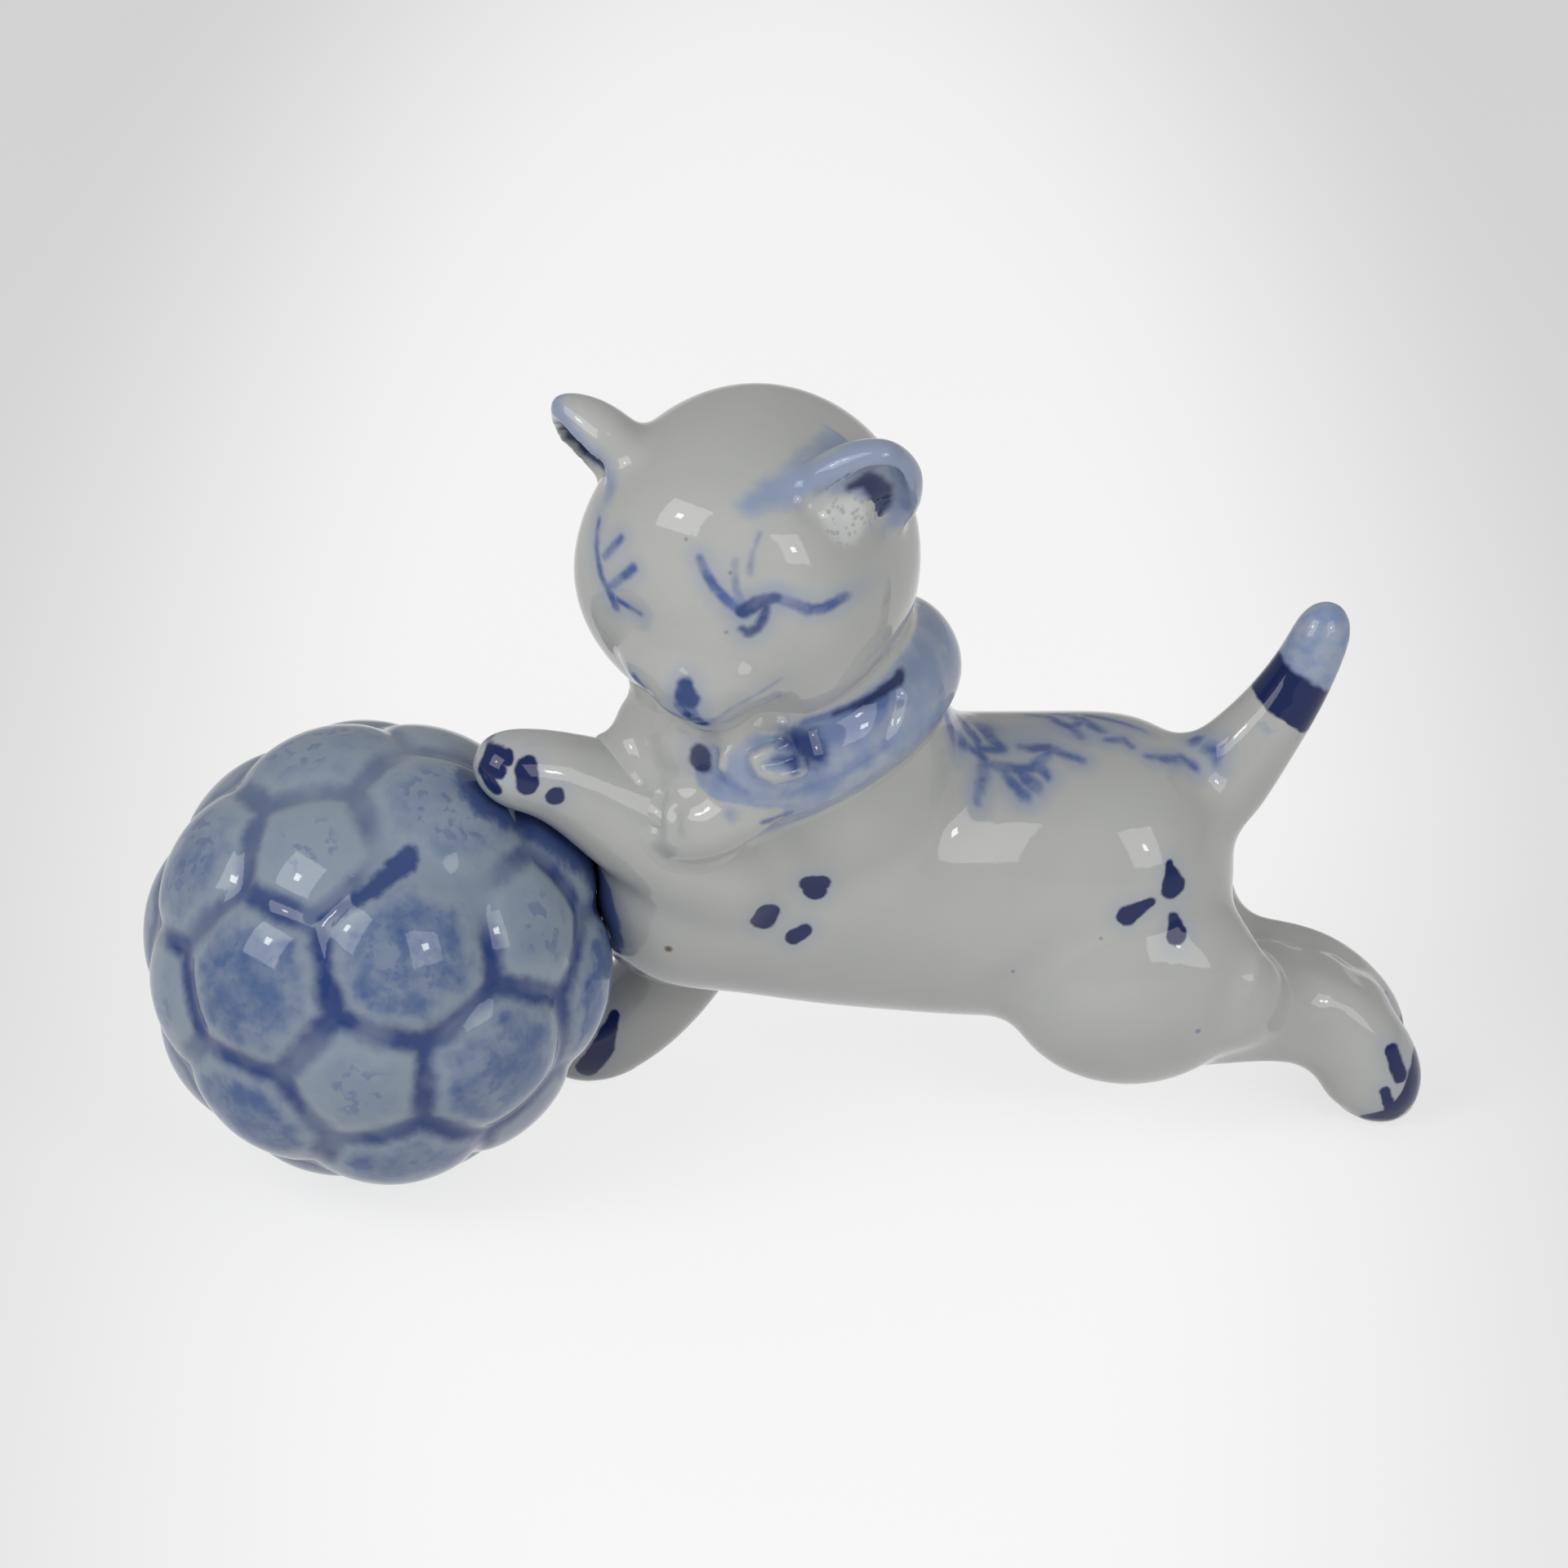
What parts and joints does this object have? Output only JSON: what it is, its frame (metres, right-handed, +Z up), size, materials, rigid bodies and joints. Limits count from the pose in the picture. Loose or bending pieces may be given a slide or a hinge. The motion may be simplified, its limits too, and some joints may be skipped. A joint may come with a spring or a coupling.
{
  "type": "cat figurine",
  "caption": "Glazed ceramic kitten stretched out behind a panelled ball with one forepaw thrown over it, wearing a ribbon with a bow at its throat.",
  "frame": {"origin": "centre of the round flat foot under the ball, on the surface that the figurine stands on", "axes": "+X along the figurine from the ball towards the tail, +Y from the kitten's left side to its right, +Z up"},
  "size_m": [0.0808, 0.034, 0.0512],
  "materials": {
    "white_porcelain": "clear glossy glaze over white porcelain with hand-painted cobalt marks",
    "blue_washed_porcelain": "clear glossy glaze over a pooled cobalt wash, darkest in the seams",
    "ribbon_porcelain": "clear glossy glaze over a pale cobalt wash"
  },
  "bodies": {
    "root": {"ball": "blue_washed_porcelain", "body": "white_porcelain", "head": "white_porcelain", "ear_left": "white_porcelain", "ear_right": "white_porcelain", "foreleg_left": "white_porcelain", "foreleg_right": "white_porcelain", "hind_leg_left": "white_porcelain", "hind_leg_right": "white_porcelain", "tail": "white_porcelain", "neck_ribbon": "ribbon_porcelain", "bow_knot": "white_porcelain", "bow_loop_upper": "ribbon_porcelain", "bow_loop_lower": "white_porcelain"}
  },
  "joints": []
}
